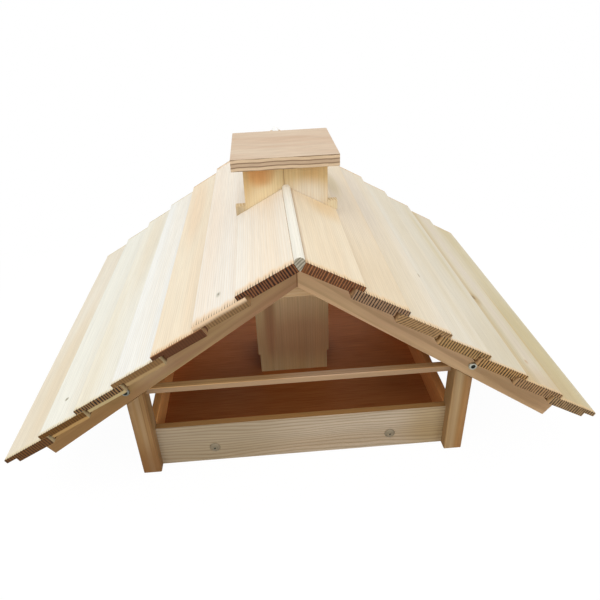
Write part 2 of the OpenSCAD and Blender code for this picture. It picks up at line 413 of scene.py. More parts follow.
def timber(node_name, axes, seed, **changes):
    """Planed pine, sawn at the ends. Gives the eye fine growth lines along the board, slow changes
    from sapwood to heartwood across it, and the same rings cut square on its end."""
    look = {**PINE, **changes}
    width, grain, through, centre = axes
    turn = Matrix((width, grain, through))
    low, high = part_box(node_name)
    half_length = sum(abs((high - low)[i] * grain[i]) for i in range(3)) / 2
    material, tree = new_material(look["name"] + "_" + node_name)
    place = add(tree, "TexCoord", out="Object")
    local = add(
        tree, "Mapping", {"Vector": place, "Location": -(turn @ centre), "Rotation": turn.to_euler()}
    )
    slow, broad, streak, fibre = board_noises(tree, local, look, seed)
    line, band = growth_rings(tree, local, look, slow)

    flat = planed_face(tree, local, look, slow, broad, line)
    flat = edges_and_tone(tree, flat, look, through, streak, fibre)
    if look["tick"]:
        flat = end_ticks_and_highlight(tree, flat, local, look, half_length, streak, line)
    end = sawn_end(tree, local, look, slow, streak, band)
    end_over = 0.7  # cosine over which a surface is an end
    along = add(tree, "Math", {0: facing(tree, grain)}, operation="ABSOLUTE")
    is_end = add(tree, "Math", {0: along, 1: end_over}, operation="GREATER_THAN")
    colour = add(tree, "Mix", {0: is_end, 6: flat, 7: end}, **COLOURS)
    if look["seam"]:
        colour = dark_middle_line(tree, colour, place, look["seam"] * MM)

    fibre_height = 0.6  # as a share of the late wood's
    height = add(tree, "Math", {0: fibre, 1: fibre_height, 2: line}, operation="MULTIPLY_ADD")
    finish_surface(
        tree, colour, look["roughness"], height, look["relief"], Specular_IOR_Level=look["gloss"]
    )
    give(node_name, material)


class FeederTimber(PropertyGroup):
    """The wood of the frame, the tray and the silo, and the faces of the two sheets."""

    post_sap: colour_setting("Post, pale", "Sapwood of the posts", "#C3A67D")
    post_heart: colour_setting("Post, dark", "Heartwood of the posts", "#A07A4C")
    left_rafter_sap: colour_setting("Left rafter, pale", "Sapwood of the left rafters", "#B6976A")
    left_rafter_heart: colour_setting("Left rafter, dark", "Heartwood of the left rafters", "#A8815E")
    right_rafter_sap: colour_setting("Right rafter, pale", "Sapwood of the right rafters", "#DAB68A")
    right_rafter_heart: colour_setting(
        "Right rafter, dark", "Heartwood of the right rafters", "#D2AC84"
    )
    gusset_sap: colour_setting("Gusset, pale", "Sapwood of the gussets", "#DCBC90")
    gusset_heart: colour_setting("Gusset, dark", "Heartwood of the gussets", "#D2AE80")
    perch_sap: colour_setting("Perch bar, pale", "Sapwood of the perch bars", "#C29C6E")
    perch_heart: colour_setting("Perch bar, dark", "Heartwood of the perch bars", "#B88A5C")
    tray_sap: colour_setting("Tray, pale", "Sapwood of the tray boards", "#C4B29A")
    tray_heart: colour_setting("Tray, dark", "Heartwood of the tray boards", "#BAA488")
    silo_sap: colour_setting("Silo, pale", "Sapwood of the silo boards", "#DCC594")
    silo_heart: colour_setting("Silo, dark", "Heartwood of the silo boards", "#D3AF79")
    film_dark: colour_setting("Film, dark", "Dark tone of the floor's resin film", "#A25C28")
    film_pale: colour_setting("Film, pale", "Pale tone of the floor's resin film", "#B87440")
    veneer_pale: colour_setting("Veneer, pale", "Pale tone of the cap's face veneer", "#D7C2A8")
    veneer_dark: colour_setting("Veneer, dark", "Dark tone of the cap's face veneer", "#CBAD90")


# ---------------- roof


ALL = 9999.0  # a half size past any board's end
ROOF_PINE = {
    "name": "roof_pine",
    "late": "#DCC296",
    "contrast": 0.18,
    "streaks": 0.03,
    "ring": 0.0029,
    "wander": 0.002,
    "pith": (0.6, 0.0),
    "uneven": 0.5,
    "blend": 0.2,
    "tick": 5.0,
    # painted highlight: an orange fringe on the faces by the sawn end
    "edge_highlight": "#EDC692",
    "thickness": 10.5,
    "arris": 1.04,
}
# Row by row from the ridge: the top, painted near-white as bright light washes it out, then the
# sawn end. The side colours of the edges and undersides are painted shade: the lap channels are
# darkened as shade leaves them. The fringe on the top by the sawn end is a painted highlight. A patch
# is: across (down the slope), along (to the back on the right, to the front on the left), the two
# half sizes, colour, strength and softness.
ROOF = {
    "left": (
        dict(uneven=1.5, tick=9.0, sap="#F6EFE2", heart="#F5E6D0", share=0.45,
             end_pale="#855432", end_dark="#27150B", band=0.55, side="#C09A70", rim=(2.0, "#E0A878")),
        dict(tick=11.0, sap="#F7F1E6", heart="#F6ECDC", share=0.35,
             end_pale="#8D6C46", end_dark="#6C5133", band=0.4, side="#7A4A30", rim=(7.6, "#ECCDA8"),
             patches=((20.0, -40.0, 12.0, 260.0, "#F8E6D0", 0.5, 0.9),
                      (2.1, 213.8, 2.6, 4.6, "#CBC7B6", 0.7, 0.4),
                      (2.1, 213.2, 1.1, 2.0, "#828070", 0.8, 0.4))),
        dict(tick=7.0, sap="#F6EAD2", heart="#F5E0C2", share=0.5,
             end_pale="#5E371C", end_dark="#523017", band=0.5, side="#6E3E2A", rim=(3.0, "#DDA272"),
             patches=((10.0, -120.0, 14.0, 120.0, "#F1D4B0", 0.55, 0.6),)),
        dict(ring=0.0032, sap="#F8F8F2", heart="#F6F0E2", share=0.2,
             end_pale="#85633B", end_dark="#715432", band=0.4, side="#6E4A2C",
             rim=(1.5, "#D8B080"), heel=(2.5, "#A88A5E"), edge_highlight="#E8D6A8"),
        dict(ring=0.0032, uneven=0.8, sap="#F5F2E4", heart="#F2EAD4", share=0.4,
             end_pale="#906C43", end_dark="#130C09", band=0.45, side="#80603C",
             rim=(1.5, "#D0B088"), heel=(2.1, "#B8A274"), edge_highlight="#E8D6A8",
             patches=((2.0, -140.0, 14.0, 150.0, "#EADBBE", 0.5, 0.6),)),
        dict(ring=0.0032, sap="#F5F4E8", heart="#F1ECDC", share=0.25,
             end_pale="#714A18", end_dark="#553710", band=0.45, side="#70502C",
             rim=(2.4, "#D0B074"), heel=(2.1, "#B08A54"), edge_highlight="#E8D6A8",
             patches=((7.6, 205.7, 2.6, 2.6, "#B4AF98", 0.75, 0.3),
                      (7.6, 205.7, 1.2, 1.2, "#6A6852", 0.8, 0.4))),
        dict(ring=0.0032, sap="#F2EBDA", heart="#EEE3CE", share=0.45,
             end_pale="#72491D", end_dark="#3B230C", band=0.45, side="#6A4A28",
             rim=(2.2, "#B89058"), edge_highlight="#E8D6A8",
             patches=((0.0, 160.0, 30.0, 120.0, "#E6D8BC", 0.5, 0.6),
                      (-2.0, 100.0, 13.0, 150.0, "#ECD8B6", 0.4, 0.5))),
    ),
    "right": (
        dict(uneven=1.5, tick=7.0, sap="#F0E2C8", heart="#EDDABC", share=0.45,
             end_pale="#9D653D", end_dark="#53341E", band=0.68, side="#C09A70", rim=(1.0, "#E0B080"),
             # painted shadow of the ridge strip: a dark line along the board's top by the ridge
             seam=8.5,
             # painted shadow: this patch is the chimney's soft shadow on the board by its base
             patches=((14.0, -70.0, 20.0, 28.0, "#E6C48E", 0.6, 0.7),)),
        dict(tick=8.0, sap="#EBDDC4", heart="#E8D5B8", share=0.4,
             end_pale="#9E7C5D", end_dark="#150E0A", band=0.4, side="#743A20", rim=(1.0, "#E4C8A0"),
             patches=((0.0, 60.0, 26.0, 130.0, "#DCCFBE", 0.5, 0.7),
                      # painted shadow of the cap on the top behind the silo
                      (-5.0, 84.0, 12.0, 48.0, "#D2C19E", 0.8, 0.6),
                      (0.0, -200.0, ALL, 70.0, "#E3CEAC", 0.5, 0.9))),
        dict(tick=7.0, sap="#E8DECB", heart="#E4D6BC", share=0.35, pith=(-0.075, 0.038), uneven=0.6,
             end_pale="#A88459", end_dark="#624C31", band=0.4, side="#7C5430", rim=(1.0, "#DCC098"),
             patches=((-10.0, 100.0, 22.0, 170.0, "#DED2C4", 0.5, 0.7),)),
        dict(ring=0.0032, sap="#E5DECE", heart="#E1D6BE", share=0.3,
             end_pale="#AE8856", end_dark="#4B3921", band=0.45, side="#86602E", rim=(1.0, "#DCB888"),
             patches=((-13.4, -107.4, 2.2, 5.0, "#A8967A", 0.65, 0.5),
                      (-20.0, -96.0, 7.0, 2.0, "#C9BCA0", 0.5, 0.5))),
        dict(ring=0.0032, sap="#E1D9C6", heart="#DDD2B8", share=0.3,
             end_pale="#B68B55", end_dark="#332413", band=0.45, side="#7A5228", rim=(1.0, "#DAB080"),
             patches=((18.0, 60.0, 5.0, 150.0, "#D2C49C", 0.5, 0.5),
                      (0.0, -225.0, ALL, 60.0, "#D0C4A8", 0.45, 0.9))),
        dict(ring=0.0032, sap="#DDD3BC", heart="#D8CAAA", share=0.3,
             end_pale="#AC855B", end_dark="#2F2214", band=0.4, side="#7A5630", rim=(1.0, "#D0AC80"),
             patches=((0.0, -180.0, 30.0, 120.0, "#CCC0A0", 0.7, 0.6),
                      (-13.0, 0.0, 10.0, ALL, "#CBB589", 0.6, 0.5),
                      (12.0, 0.0, 9.0, ALL, "#DFD3C4", 0.5, 0.5),
                      (-6.0, -68.0, 7.0, 14.0, "#B89C6C", 0.6, 0.6),
                      (-8.8, -67.0, 3.2, 5.0, "#7C643C", 0.75, 0.6),
                      (6.2, -202.0, 2.0, 3.6, "#BE9464", 0.6, 0.5),
                      (0.0, -245.0, ALL, 26.0, "#CAAE85", 0.45, 0.9))),
        dict(ring=0.0032, sap="#D9CFB4", heart="#D3C29A", share=0.4,
             end_pale="#A7865D", end_dark="#2E2315", band=0.45, side="#7A5A34", rim=(1.0, "#D0B080"),
             patches=((0.0, -150.0, 30.0, 140.0, "#C6B68A", 0.75, 0.6),
                      (-12.0, -120.0, 6.0, 150.0, "#D6B984", 0.45, 0.6),
                      (-8.0, 150.0, 9.0, 120.0, "#DDD2B8", 0.5, 0.6),
                      (14.0, 0.0, 8.0, ALL, "#CFC094", 0.4, 0.5),
                      (-6.0, -240.0, 22.0, 60.0, "#C0A87E", 0.45, 0.9))),
    ),
}


class FEEDER_OT_roof(Operator):
    """Finishes the lapped roof boards, each cut from its own stick of straight-grained pine"""

    bl_idname = "feeder.roof"
    bl_label = "Roof boards"

    def execute(self, context):
        for side, turn in (("left", 0.0), ("right", 0.5)):
            for row, look in enumerate(ROOF[side], 1):
                node_name = f"roof_board_{side}_{row}"
                timber(
                    node_name, board_axes(node_name, (0, 0, 1), (0, 0, -1)), row + turn,
                    **{**ROOF_PINE, **look},
                )
        return {"FINISHED"}


# ---------------- posts and rafters


POST_PATCHES = {
    "left": (
        (-8.0, -66.0, 5.0, 30.0, "#9A6A38", 0.6, 0.5),
        (1.0, 0.0, 3.0, ALL, "#BCA480", 0.35, 0.7),
        (4.6, 20.0, 0.6, 60.0, "#70502E", 0.5, 0.6),
        (9.9, 0.0, 0.8, ALL, "#6A4424", 0.6, 0.6),
        (0.0, -50.0, 30.0, 32.0, "#80562E", 0.6, 0.7),
        (0.0, -70.0, 30.0, 4.0, "#5E3418", 0.7, 0.6),
    ),
    "right": (
        (-5.0, 0.0, 5.0, ALL, "#D0B88E", 0.5, 0.7),
        (8.0, 0.0, 5.0, ALL, "#A8743E", 0.5, 0.5),
        (8.0, -68.0, 12.0, 3.5, "#5A2E14", 0.7, 0.6),
    ),
}
RAFTER_PATCHES = {
    "left": (
        (0.0, 150.0, 60.0, 110.0, "#A67C44", 0.7, 0.4),
        (0.0, -60.0, 12.0, 40.0, "#A98A52", 0.4, 0.7),
        (12.0, 40.0, 4.0, 60.0, "#CDBE98", 0.6, 0.7),
        (0.0, 10.0, 16.0, 26.0, "#C8AA80", 0.5, 0.7),
        (-6.0, 62.0, 9.0, 20.0, "#8E7040", 0.55, 0.7),
        (8.0, -120.0, 6.0, 50.0, "#B48A6E", 0.5, 0.7),
    ),
    "right": ((0.0, -120.0, 60.0, 60.0, "#B48E5E", 0.4, 0.5),),
}


class FEEDER_OT_frame(Operator):
    """Finishes the posts, rafters, gussets and perch bars"""

    bl_idname = "feeder.frame"
    bl_label = "Posts and rafters"

    def execute(self, context):
        wood = context.scene.feeder_timber
        ends = (("front", Vector((0, -1, 0)), 0), ("back", Vector((0, 1, 0)), 5))
        for end, out, seed in ends:
            for side in ("left", "right"):
                seed += 1
                node_name = f"post_{end}_{side}"
                timber(
                    node_name, axes_from(node_name, out, Vector((1, 0, 0))), 20 + seed,
                    sap=wood.post_sap, heart=wood.post_heart, late="#8A6238", share=0.5,
                    pith=(0.01, -0.05), ring=0.003, wander=0.006, contrast=0.4, arris=1.08,
                    patches=POST_PATCHES[side],
                )
                node_name = f"rafter_{end}_{side}"
                timber(
                    node_name, board_axes(node_name, out, (0, 0, 1)), 30 + seed,
                    sap=getattr(wood, side + "_rafter_sap"),
                    heart=getattr(wood, side + "_rafter_heart"), seam=0.9, late="#97744C",
                    share=0.5, blend=0.15, broad=(60.0, 7.0, 60.0), pith=(0.03, -0.2), ring=0.0035,
                    wander=0.012, contrast=0.3, arris=1.3, patches=RAFTER_PATCHES[side],
                )
            node_name = f"gusset_{end}"
            timber(
                node_name, board_axes(node_name, out, (0, 0, 1)), 40 + seed,
                sap=wood.gusset_sap, heart=wood.gusset_heart, pith=(0.1, -0.03), ring=0.004,
                contrast=0.3,
            )
            node_name = f"perch_bar_{end}"
            timber(
                node_name, axes_from(node_name, Vector((0, 0, 1)), out), 50 + seed,
                sap=wood.perch_sap, heart=wood.perch_heart, late="#9A7040", side="#B0906E",
                both_faces=True, share=0.45, pith=(0.02, -0.02), ring=0.003, contrast=0.25,
                arris=1.12,
                patches=(
                    (0.0, 40.0, 20.0, 55.0, "#C9AC90", 0.7, 0.6),
                    # painted light: this pale patch lifts the shade at the left end of the front bar,
                    # under the roof
                    (0.0, -140.0, 20.0, 60.0, "#EAC084", 0.8, 0.6),
                ),
            )
        return {"FINISHED"}


# ---------------- tray


SIDES = {"front": (0, -1, 0), "back": (0, 1, 0), "left": (-1, 0, 0), "right": (1, 0, 0)}
TRAY_FRONT = (
    (0.0, 120.0, 40.0, 90.0, "#A29072", 0.6, 0.6),
    (0.0, -168.0, 40.0, 34.0, "#A88A52", 0.55, 0.7),
)
# Colour of each tray board's inner face and edges. The left and right ones are painted light: much
# brighter than the wood, to lift the shade inside the tray.
TRAY_EDGES = {"front": "#AA7F4C", "back": "#B88656", "left": "#FAB870", "right": "#E9A05E"}


class FEEDER_OT_tray(Operator):
    """Finishes the four tray boards and the film-faced floor"""

    bl_idname = "feeder.tray"
    bl_label = "Tray"

    def execute(self, context):
        wood = context.scene.feeder_timber
        for seed, (side, out) in enumerate(SIDES.items()):
            node_name = f"tray_board_{side}"
            timber(
                node_name, board_axes(node_name, out, (0, 0, 1)), 60 + seed,
                sap=wood.tray_sap, heart=wood.tray_heart, late="#80663C", side=TRAY_EDGES[side],
                share=0.35, blend=0.2, slow=(22.0, 7.0, 22.0), pith=(0.25, -0.03), ring=0.0046,
                wander=0.018, contrast=0.42, patches=TRAY_FRONT if side == "front" else (),
            )
        give("tray_floor", film_faced_panel(wood.film_dark, wood.film_pale))
        return {"FINISHED"}


def film_faced_panel(dark, pale):
    """Film-faced plywood: a red-brown resin film with a pressed grain along X, which gives the eye a
    dark, dull sheen in fine streaks. The fine grain is 1.4 mm across and 40 mm long, the broad one
    45 mm across and 330 mm long."""
    fine_share, broad_share = 0.6, 0.4
    material, tree = new_material("film_faced_plywood")
    place = add(tree, "TexCoord", out="Object")
    grains = []
    for cells, detail in (((26.0, 700.0, 700.0), 2.0), ((3.0, 22.0, 22.0), 3.0)):
        stretched = add(tree, "VectorMath", {0: place, 1: cells}, operation="MULTIPLY")
        grains.append(add(tree, "TexNoise", {"Vector": stretched, "Scale": 1.0, "Detail": detail}))
    fine, broad = grains
    tone = add(tree, "Math", {0: fine, 1: fine_share}, operation="MULTIPLY")
    tone = add(tree, "Math", {0: broad, 1: broad_share, 2: tone}, operation="MULTIPLY_ADD")
    tone = add(tree, "MapRange", {0: tone, 1: NOISE_LOW, 2: NOISE_HIGH}, **SMOOTH)
    colour = add(tree, "Mix", {0: tone, 6: rgba(dark), 7: rgba(pale)}, **COLOURS)

    # painted light: the film is made twice as bright 50 mm behind the middle as it is 110 mm before it,
    # for the light that comes in through the open back
    depth = add(tree, "SeparateXYZ", {0: place}, out=1)
    bright = add(tree, "MapRange", {0: depth, 1: -110 * MM, 2: 50 * MM, 3: 0.9, 4: 1.8}, **SMOOTH)
    colour = add(tree, "VectorMath", {0: colour, "Scale": bright}, operation="SCALE")
    finish_surface(tree, colour, 0.5, fine, 0.05 * MM, Specular_IOR_Level=0.12)
    return material


# ---------------- ridge and silo


RIDGE = {
    "front": dict(sap="#F7F3E6", heart="#F2ECDC", late="#E2DAC6", end_pale="#B4AB96", end_dark="#7C7464"),
    "back": dict(sap="#FFFFFC", heart="#FEFCF6", late="#F8F4EA", end_pale="#FEFCF6", end_dark="#F4F0E6"),
}


class FEEDER_OT_ridge(Operator):
    """Finishes the two ridge strips in pale sapwood, painted near-white as bright light washes it out;
    the back one is painted plain white, so that it is lost against the white backdrop
    """

    bl_idname = "feeder.ridge"
    bl_label = "Ridge strips"

    def execute(self, context):
        for seed, (end, colours) in enumerate(RIDGE.items()):
            node_name = f"ridge_strip_{end}"
            timber(
                node_name, axes_from(node_name, Vector((0, 0, 1)), Vector((1, 0, 0))), 80 + seed,
                name="ridge_pine", share=0.3, contrast=0.3, pith=(0.05, -0.05), **colours,
            )
        return {"FINISHED"}


# painted shade over the lower part of the board
SILO_OTHER = ((0.0, -95.0, 70.0, 45.0, "#B58060", 0.4, 0.6),)
SILO_FRONT = (
    (-28.0, 100.0, 26.0, 30.0, "#F1DFB8", 0.8, 0.5),
    (-34.0, 145.0, 11.0, 15.0, "#D89A5A", 0.7, 0.5),
    (-24.0, 146.0, 10.0, 15.0, "#CE965C", 0.6, 0.4),
    (27.0, 112.0, 27.0, 19.0, "#EAE4D4", 0.85, 0.6),
    # painted light: a pale patch that lifts the shaded middle of the board under the roof
    (8.0, 5.0, 45.0, 80.0, "#FBD6A6", 0.75, 0.7),
    (57.0, 96.0, 8.0, 12.0, "#E6D8B6", 0.9, 0.4),
    (-58.0, 96.0, 8.0, 14.0, "#B8A88E", 0.7, 0.5),
    (-31.0, -29.0, 7.0, 90.0, "#9A5E3C", 0.6, 0.5),
    # painted shade over the lower part of the board
    (10.0, -95.0, 70.0, 45.0, "#B07858", 0.65, 0.6),
    (-2.0, 125.0, 0.6, 40.0, "#8A6440", 0.6, 0.3),
)


class FEEDER_OT_silo(Operator):
    """Finishes the four boards of the feed silo, the front one glued up from two"""

    bl_idname = "feeder.silo"
    bl_label = "Feed silo"

    def execute(self, context):
        wood = context.scene.feeder_timber
        for seed, (side, out) in enumerate(SIDES.items()):
            node_name = f"silo_board_{side}"
            timber(
                node_name, board_axes(node_name, out, (1, 1, 0)), 90 + seed,
                sap=wood.silo_sap, heart=wood.silo_heart, late="#BE9258", end_pale="#E0CCA6",
                end_dark="#CBAE7E", share=0.45, blend=0.2, pith=(0.12, -0.01), ring=0.0034,
                wander=0.008, contrast=0.15, patches=SILO_FRONT if side == "front" else SILO_OTHER,
            )
        return {"FINISHED"}


# ---------------- cap


class FEEDER_OT_cap(Operator):
    """Finishes the plywood cap and its locating block"""

    bl_idname = "feeder.cap"
    bl_label = "Chimney cap"

    def execute(self, context):
        wood = context.scene.feeder_timber
        give("chimney_cap", plywood("chimney_cap", wood.veneer_pale, wood.veneer_dark))
        timber(
            "cap_block", board_axes("cap_block", (0, 0, 1), (1, 0, 0)), 100,
            pith=(0.03, -0.03), ring=0.004,
        )
        return {"FINISHED"}


def plywood(node_name, pale, dark):
    """Birch plywood: a pinkish rotary-cut face veneer, and on the edge three plies with glue lines.
    The veneer's figure is 17 mm across and 125 mm long, its flecks 1.3 mm across and 20 mm long."""
    low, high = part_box(node_name)
    plies = 3
    waver = 3 * MM
    glue_start, glue_full, glue_strength = 0.26, 0.46, 0.85
    face_over = 0.7
    material, tree = new_material("birch_plywood")
    place = add(tree, "TexCoord", out="Object")
    patterns = []
    for cells, detail in (
        ((8.0, 60.0, 60.0), 3.0), ((50.0, 800.0, 800.0), 2.0), ((40.0, 40.0, 0.0), 1.0),
    ):
        stretched = add(tree, "VectorMath", {0: place, 1: cells}, operation="MULTIPLY")
        patterns.append(add(tree, "TexNoise", {"Vector": stretched, "Scale": 1.0, "Detail": detail}))
    figure, fleck, wave = patterns
    figure = add(tree, "MapRange", {0: figure, 1: NOISE_LOW, 2: NOISE_HIGH})
    face = add(tree, "Mix", {0: figure, 6: rgba(pale), 7: rgba(dark)}, **COLOURS)
    fine = add(tree, "MapRange", {0: fleck, 1: NOISE_LOW, 2: NOISE_HIGH, 3: 0.9, 4: 1.06})
    face = add(tree, "VectorMath", {0: face, "Scale": fine}, operation="SCALE")

    # edge: the plies, the middle one cut across its grain, parted by thin wavy glue lines; a height
    # counted in plies gives the line where its fraction is near 0 or 1
    height = add(tree, "SeparateXYZ", {0: place}, out=2)
    height = add(tree, "Math", {0: wave, 1: waver, 2: height}, operation="MULTIPLY_ADD")
    ply = add(tree, "Math", {0: height, 1: low.z + waver / 2}, operation="SUBTRACT")
    ply = add(tree, "Math", {0: ply, 1: (high.z - low.z) / plies}, operation="DIVIDE")
    phase = add(tree, "Math", {0: ply}, operation="FRACT")
    off = add(tree, "Math", {0: phase, 1: 0.5}, operation="SUBTRACT")
    off = add(tree, "Math", {0: off}, operation="ABSOLUTE")
    glue = add(
        tree, "MapRange", {0: off, 1: glue_start, 2: glue_full, 3: 0.0, 4: glue_strength}, **SMOOTH
    )
    odd = add(tree, "Math", {0: ply, 1: 2.0}, operation="FLOORED_MODULO")
    odd = add(tree, "Math", {0: odd, 1: 1.0}, operation="GREATER_THAN")
    edge = add(tree, "Mix", {0: odd, 6: rgba("#D8BE9E"), 7: rgba("#C4AA8E")}, **COLOURS)
    edge = add(tree, "VectorMath", {0: edge, "Scale": fine}, operation="SCALE")
    edge = add(tree, "Mix", {0: glue, 6: edge, 7: rgba("#7A6048")}, **COLOURS)
    up = add(tree, "Math", {0: facing(tree, (0, 0, 1))}, operation="ABSOLUTE")
    is_face = add(tree, "Math", {0: up, 1: face_over}, operation="GREATER_THAN")
    colour = add(tree, "Mix", {0: is_face, 6: edge, 7: face}, **COLOURS)
    finish_surface(tree, colour, 0.6, fleck, 0.05 * MM, Specular_IOR_Level=0.2)
    return material


# ---------------- screws


class FeederScrews(PropertyGroup):
    """The screw heads."""

    bright: colour_setting("Bright zinc", "Colour of the rafter screws", "#CACCBE")
    dull: colour_setting("Dull zinc", "Colour of the tray screws", "#93866E")
    socket: colour_setting(
        "Socket", "Colour deep in the sockets, where plating and light run out", "#34362D"
    )
    recess: FloatProperty(
        name="Recess depth",
        description="Depth of the socket in a head",
        subtype="DISTANCE",
        unit="LENGTH",
        default=0.0015,
    )


def heads_of(node_name):
    """Centre, outward direction, radius and height of each screw head in a CAD node, found by taking
    the points within a head's reach of the first one left, again and again."""
    reach = 16 * MM
    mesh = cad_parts[node_name].data
    left = np.empty(len(mesh.vertices) * 3)
    mesh.vertices.foreach_get("co", left)
    left = left.reshape(-1, 3)
    heads = []
    while len(left):
        near = np.linalg.norm(left - left[0], axis=1) < reach
        low, high = left[near].min(0), left[near].max(0)
        size = high - low
        axis = size.argmin()
        centre = (low + high) / 2
        outward = np.zeros(3)
        outward[axis] = np.sign(centre[axis] - MIDDLE[axis])
        heads.append((centre, outward, size.max() / 2, size[axis]))
        left = left[~near]
    return heads


def head_surface(radius, height, recess, ring):
    """A screw head with a socket, its axis along Z and its seat on Z = 0, and how many of its faces
    lie in the socket.

    The height over a polar grid is a crown less a socket: a dome rolls off all the way to its rim and
    has a small round socket; a ring head is flat with a rolled rim and a wide socket. Distances from
    the axis are shares of the radius.
    """
    hole = 0.46 if ring else 0.16
    flat, roundness, bulge = 0.72, 2.4, 0.98
    # the grid's rings lie closest over the rolled rim
    socket = np.linspace(0.0, hole, 5)[1:]
    share = np.concatenate([socket, np.linspace(hole * 1.1, 0.8, 9), np.linspace(0.84, 1.0, 7)])
    rho, phi = np.meshgrid(share, TURN, indexing="ij")
    x, y = radius * rho * np.cos(phi), radius * rho * np.sin(phi)
    roll = np.clip((rho - flat) / (1 - flat), 0, 1) ** roundness
    crown = height * (1 - roll) if ring else height * np.sqrt(1 - bulge * rho**2)
    crown[-1] = 0.0
    z = crown - recess * (rho <= hole)
    top = np.stack([x, y, z], -1).reshape(-1, 3)
    points = np.vstack([[0, 0, z[0, 0]], top])
    rings, count = len(share), len(TURN)
    grid = 1 + np.arange(rings * count).reshape(rings, count)
    after = np.roll(grid, -1, axis=1)
    fan = np.stack([np.zeros(count, int), grid[0], after[0]], -1).tolist()
    quads = np.stack([grid[:-1], grid[1:], after[1:], after[:-1]], -1)
    faces = fan + quads.reshape(-1, 4).tolist() + [grid[-1][::-1].tolist()]
    return points, faces, count * (len(socket) + 1)


def metal(name, colour, metallic, roughness, left=1.0):
    """Zinc plate: a soft, finely speckled sheen. The speckle is 1 mm, and left is the share of its
    brightness that the object's left side keeps."""
    side = 50 * MM
    material, tree = new_material(name)
    place = add(tree, "TexCoord", out="Object")
    speck = add(tree, "TexNoise", {"Vector": place, "Scale": 900.0, "Detail": 2.0})
    tone = add(tree, "MapRange", {0: speck, 1: NOISE_LOW, 2: NOISE_HIGH, 3: 0.88, 4: 1.05})
    across = add(tree, "SeparateXYZ", {0: place}, out=0)
    # darker towards the object's left: the brightness falls to the share left there
    left_dimming = add(tree, "MapRange", {0: across, 1: -side, 2: side, 3: left, 4: 1.0})
    tone = add(tree, "Math", {0: tone, 1: left_dimming}, operation="MULTIPLY")
    colour = add(tree, "VectorMath", {0: tuple(colour), "Scale": tone}, operation="SCALE")
    finish_surface(tree, colour, roughness, speck, 0.02 * MM, Metallic=metallic)
    return material


class FEEDER_OT_screws(Operator):
    """Turns the plain screw heads into domes on the tray and ring heads on the rafters"""

    bl_idname = "feeder.screws"
    bl_label = "Screws"

    def execute(self, context):
        sizes = context.scene.feeder_screws
        # Bright zinc: grey-white with a soft shine. Dull zinc: coloured close to the tone of the wood.
        finishes = {
            "tray_screws": metal("dull_zinc", sizes.dull, metallic=0.35, roughness=0.45),
            "rafter_screws": metal(
                "bright_zinc", sizes.bright, metallic=0.9, roughness=0.3, left=0.45
            ),
        }
        dark = metal("socket_shadow", sizes.socket, metallic=0.0, roughness=0.8)
        for node_name, finish in finishes.items():
            points, faces, inside = [], [], []
            for centre, outward, radius, height in heads_of(node_name):
                shape, polygons, deep = head_surface(
                    radius, height, sizes.recess, node_name == "rafter_screws"
                )
                up = Vector(outward)
                side = up.orthogonal().normalized()
                turn = np.array(Matrix((side, up.cross(side), up)))
                start = sum(len(p) for p in points)
                base = centre - outward * height / 2
                points.append(shape @ turn + base)
                faces += [[i + start for i in face] for face in polygons]
                inside += [1] * deep + [0] * (len(polygons) - deep)
            piece = new_piece(node_name + "_heads", np.vstack(points), faces, finish)
            piece.data.materials.append(dark)
            piece.data.polygons.foreach_set("material_index", inside)
            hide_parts(node_name)
            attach(piece, "house")
        return {"FINISHED"}


# ---------------- stage


class FeederStage(PropertyGroup):
    """The camera and the light."""

    eye: FloatVectorProperty(
        name="Eye",
        description="Where the camera stands",
        subtype="TRANSLATION",
        unit="LENGTH",
        size=3,
        default=(-0.02875, -0.67582, 0.52044),
    )
    yaw: FloatProperty(
        name="Yaw",
        description="Turn of the view to the right of straight ahead",
        subtype="ANGLE",
        default=math.radians(2.471),
    )
    pitch: FloatProperty(
        name="Pitch",
        description="Rise of the view over level",
        subtype="ANGLE",
        default=math.radians(-30.903),
    )
    roll: FloatProperty(
        name="Roll",
        description="Lean of the camera about its view",
        subtype="ANGLE",
        default=math.radians(-2.767),
    )
    lens: FloatProperty(
        name="Lens", description="Focal length on a 36 mm sensor, in millimetres", default=32.25
    )
    shift: FloatProperty(
        name="Shift", description="Sideways shift, as a share of the view's width", default=0.0167
    )
    key: FloatProperty(
        name="Key light", description="Level of the large lamp over the front", default=0.34
    )
    side: FloatProperty(
        name="Side light", description="Level of the lamp at the front right", default=0.10
    )
    back: FloatProperty(
        name="Back light", description="Level of the lamp behind the feeder", default=0.12
    )
    fill: FloatProperty(name="Fill light", description="Level that the world gives", default=0.69)


def set_camera(scene, sizes):
    """A camera at the eye, turned by yaw, then raised by pitch, then leaned by roll."""
    ahead = Vector(
        (
            math.sin(sizes.yaw) * math.cos(sizes.pitch),
            math.cos(sizes.yaw) * math.cos(sizes.pitch),
            math.sin(sizes.pitch),
        )
    )
    right = Vector((math.cos(sizes.yaw), -math.sin(sizes.yaw), 0.0))
    up = right.cross(ahead)
    lean = Matrix.Rotation(-sizes.roll, 3, ahead)
    right, up = lean @ right, lean @ up
    data = bpy.data.cameras.new("camera")
    data.lens = sizes.lens
    data.shift_x = sizes.shift
    camera = bpy.data.objects.new("camera", data)
    scene.collection.objects.link(camera)
    turn = Matrix((right, up, -ahead)).transposed().to_4x4()
    camera.matrix_world = Matrix.Translation(sizes.eye) @ turn
    scene.camera = camera


